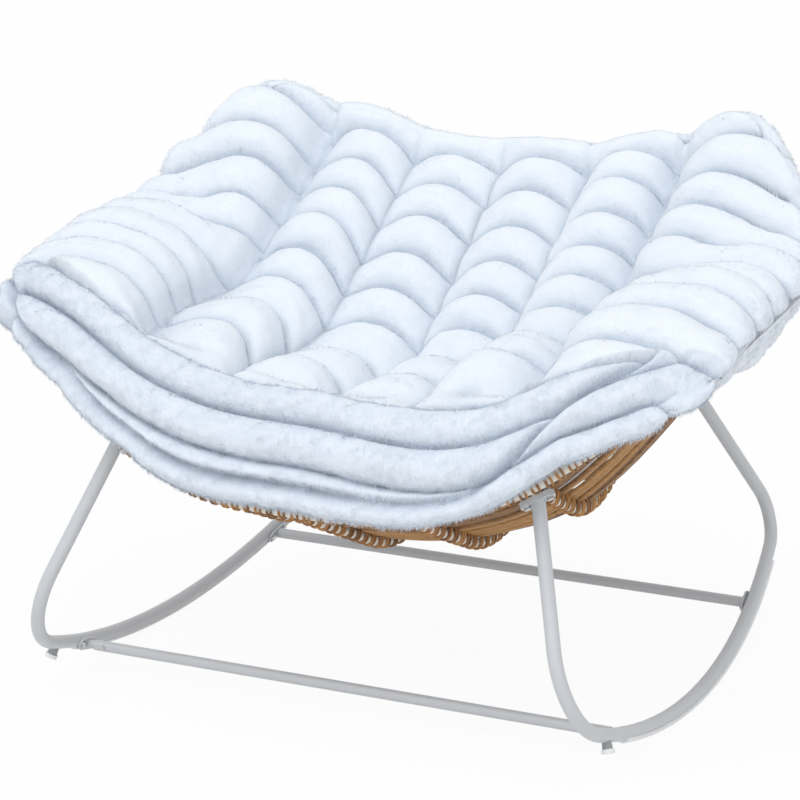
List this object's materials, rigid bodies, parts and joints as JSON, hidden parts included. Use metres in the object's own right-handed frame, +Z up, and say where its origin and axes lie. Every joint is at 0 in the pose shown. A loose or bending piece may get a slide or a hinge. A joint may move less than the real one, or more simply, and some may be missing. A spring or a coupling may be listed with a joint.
{
  "type": "wicker rocking chair",
  "caption": "Wide rocking lounge chair: a rattan basket seat with a quilted plush cushion on bent-tube rockers joined by crossbars.",
  "frame": {"origin": "centre of the overall box at floor level, at rest on the runners", "axes": "+Z up, the sitter faces -Y, +X is the right side seen from the front"},
  "size_m": [1.112, 0.9105, 0.8002],
  "materials": {
    "frame_paint": "satin light grey powder coat",
    "cream_paint": "satin cream paint under the lashing",
    "rattan": "varnished round rattan cane, split and lashed",
    "plush": "short pale ice-blue plush pile",
    "fastener_steel": "zinc plated",
    "white_plastic": "smooth moulded plastic",
    "grey_plastic": "smooth moulded plastic"
  },
  "bodies": {
    "frame": {"left_rocker": "frame_paint", "right_rocker": "frame_paint", "left_glide_strip": "white_plastic", "right_glide_strip": "white_plastic", "left_stop_foot": "grey_plastic", "right_stop_foot": "grey_plastic", "left_stop_pad": "white_plastic", "right_stop_pad": "white_plastic", "left_front_bar_spigot": "frame_paint", "right_front_bar_spigot": "frame_paint", "left_rear_bar_plate": "frame_paint", "right_rear_bar_plate": "frame_paint", "left_front_leg_flange": "frame_paint", "right_front_leg_flange": "frame_paint", "left_front_seat_bracket": "frame_paint", "right_front_seat_bracket": "frame_paint", "left_rear_leg_flange": "frame_paint", "right_rear_leg_flange": "frame_paint", "left_rear_seat_bracket": "frame_paint", "right_rear_seat_bracket": "frame_paint", "left_inner_rib": "cream_paint", "right_inner_rib": "cream_paint", "left_outer_rib": "cream_paint", "right_outer_rib": "cream_paint", "left_centre_rattan": "rattan", "right_centre_rattan": "rattan", "left_middle_rattan": "rattan", "right_middle_rattan": "rattan", "left_wing_rattan": "rattan", "right_wing_rattan": "rattan", "glide_strip_screws": "fastener_steel", "front_crossbar": "frame_paint", "front_bar_set_screws": "fastener_steel", "rear_crossbar": "frame_paint", "front_bar_bolts": "fastener_steel", "rear_bar_bolts": "fastener_steel", "seat_bolts": "fastener_steel", "seat_nuts": "fastener_steel", "seat_rim": "cream_paint", "centre_rib": "cream_paint"},
    "cushion": {"seat_cushion": "plush"}
  },
  "joints": [
    {"name": "cushion_lift", "type": "slide", "parent": "frame", "child": "cushion", "axis": [0, 0, 1], "range_m": [0, 0.5]}
  ]
}
